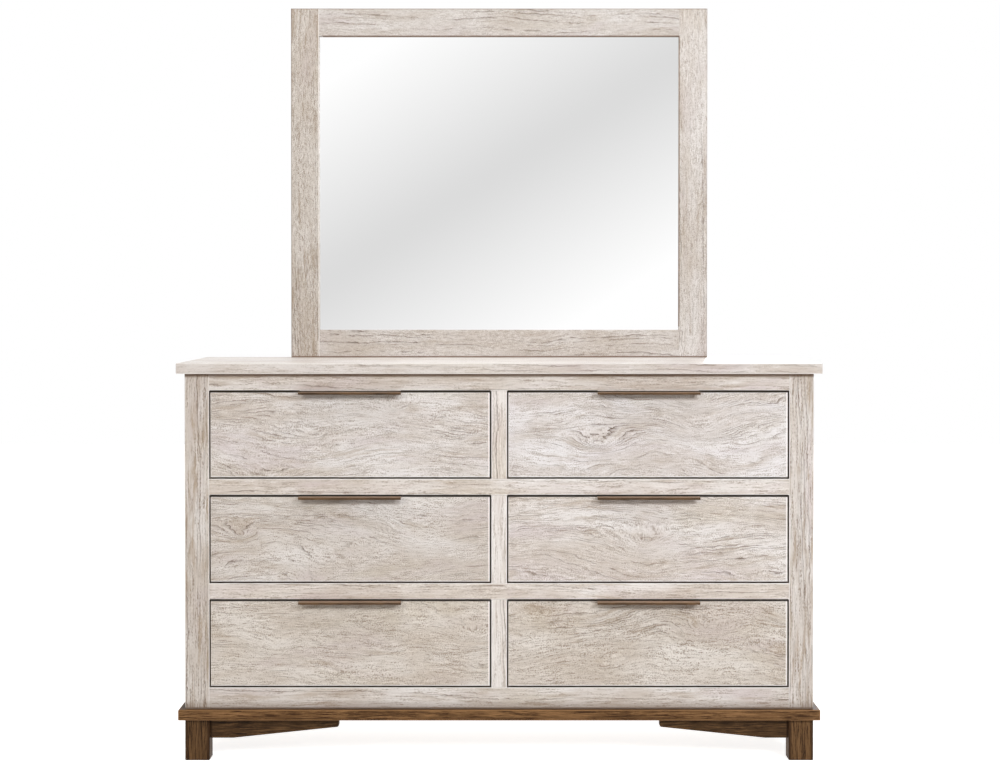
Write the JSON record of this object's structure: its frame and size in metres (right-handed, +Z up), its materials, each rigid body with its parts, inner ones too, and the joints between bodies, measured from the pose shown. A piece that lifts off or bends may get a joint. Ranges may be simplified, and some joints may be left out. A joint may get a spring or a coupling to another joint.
{
  "type": "dresser with mirror",
  "caption": "Whitewashed wooden dresser with rows of inset drawers, metal edge pulls, a brown plinth on block feet and a framed mirror standing on its top.",
  "frame": {"origin": "on the floor, under the middle of the whole piece, pulls and mirror posts included", "axes": "+Z up, -Y out of the drawer fronts, +X to the right as seen from the front"},
  "size_m": [1.573, 0.4824, 1.9043],
  "materials": {
    "whitewashed_wood": "whitewashed and glazed, low sheen",
    "brown_stained_wood": "brown stain, satin",
    "bronzed_metal": "brushed bronze",
    "drawer_box_wood": "clear lacquer",
    "unfinished_wood": "planed, unfinished",
    "plywood": "sanded",
    "mirror_glass": "silvered glass",
    "hardboard": "smooth"
  },
  "bodies": {
    "case": {"top_board": "whitewashed_wood", "left_front_stile": "whitewashed_wood", "right_front_stile": "whitewashed_wood", "top_rail": "whitewashed_wood", "upper_mid_rail": "whitewashed_wood", "lower_mid_rail": "whitewashed_wood", "bottom_rail": "whitewashed_wood", "upper_mullion": "whitewashed_wood", "middle_mullion": "whitewashed_wood", "lower_mullion": "whitewashed_wood", "left_side_panel": "whitewashed_wood", "right_side_panel": "whitewashed_wood", "back_panel": "plywood", "rear_top_rail": "unfinished_wood", "rear_centre_post": "unfinished_wood", "bottom_panel": "unfinished_wood", "lower_dust_panel": "unfinished_wood", "upper_dust_panel": "unfinished_wood", "plinth_front": "brown_stained_wood", "plinth_left": "brown_stained_wood", "plinth_right": "brown_stained_wood", "plinth_rear": "brown_stained_wood", "front_left_foot": "brown_stained_wood", "front_right_foot": "brown_stained_wood", "rear_left_foot": "brown_stained_wood", "rear_right_foot": "brown_stained_wood", "left_bracket": "brown_stained_wood", "right_bracket": "brown_stained_wood", "mirror_left_stile": "whitewashed_wood", "mirror_right_stile": "whitewashed_wood", "mirror_top_rail": "whitewashed_wood", "mirror_bottom_rail": "whitewashed_wood", "mirror_glass": "mirror_glass", "mirror_backing": "hardboard", "mirror_left_support": "unfinished_wood", "mirror_right_support": "unfinished_wood"},
    "upper_left_drawer": {"upper_left_drawer_front": "whitewashed_wood", "upper_left_drawer_box": "drawer_box_wood", "upper_left_drawer_bottom": "plywood", "upper_left_drawer_pull": "bronzed_metal"},
    "upper_right_drawer": {"upper_right_drawer_front": "whitewashed_wood", "upper_right_drawer_box": "drawer_box_wood", "upper_right_drawer_bottom": "plywood", "upper_right_drawer_pull": "bronzed_metal"},
    "middle_left_drawer": {"middle_left_drawer_front": "whitewashed_wood", "middle_left_drawer_box": "drawer_box_wood", "middle_left_drawer_bottom": "plywood", "middle_left_drawer_pull": "bronzed_metal"},
    "middle_right_drawer": {"middle_right_drawer_front": "whitewashed_wood", "middle_right_drawer_box": "drawer_box_wood", "middle_right_drawer_bottom": "plywood", "middle_right_drawer_pull": "bronzed_metal"},
    "lower_left_drawer": {"lower_left_drawer_front": "whitewashed_wood", "lower_left_drawer_box": "drawer_box_wood", "lower_left_drawer_bottom": "plywood", "lower_left_drawer_pull": "bronzed_metal"},
    "lower_right_drawer": {"lower_right_drawer_front": "whitewashed_wood", "lower_right_drawer_box": "drawer_box_wood", "lower_right_drawer_bottom": "plywood", "lower_right_drawer_pull": "bronzed_metal"}
  },
  "joints": [
    {"name": "upper_left_drawer_slide", "type": "slide", "parent": "case", "child": "upper_left_drawer", "axis": [0, -1, 0], "range_m": [0, 0.34]},
    {"name": "upper_right_drawer_slide", "type": "slide", "parent": "case", "child": "upper_right_drawer", "axis": [0, -1, 0], "range_m": [0, 0.34]},
    {"name": "middle_left_drawer_slide", "type": "slide", "parent": "case", "child": "middle_left_drawer", "axis": [0, -1, 0], "range_m": [0, 0.34]},
    {"name": "middle_right_drawer_slide", "type": "slide", "parent": "case", "child": "middle_right_drawer", "axis": [0, -1, 0], "range_m": [0, 0.34]},
    {"name": "lower_left_drawer_slide", "type": "slide", "parent": "case", "child": "lower_left_drawer", "axis": [0, -1, 0], "range_m": [0, 0.34]},
    {"name": "lower_right_drawer_slide", "type": "slide", "parent": "case", "child": "lower_right_drawer", "axis": [0, -1, 0], "range_m": [0, 0.34]}
  ]
}
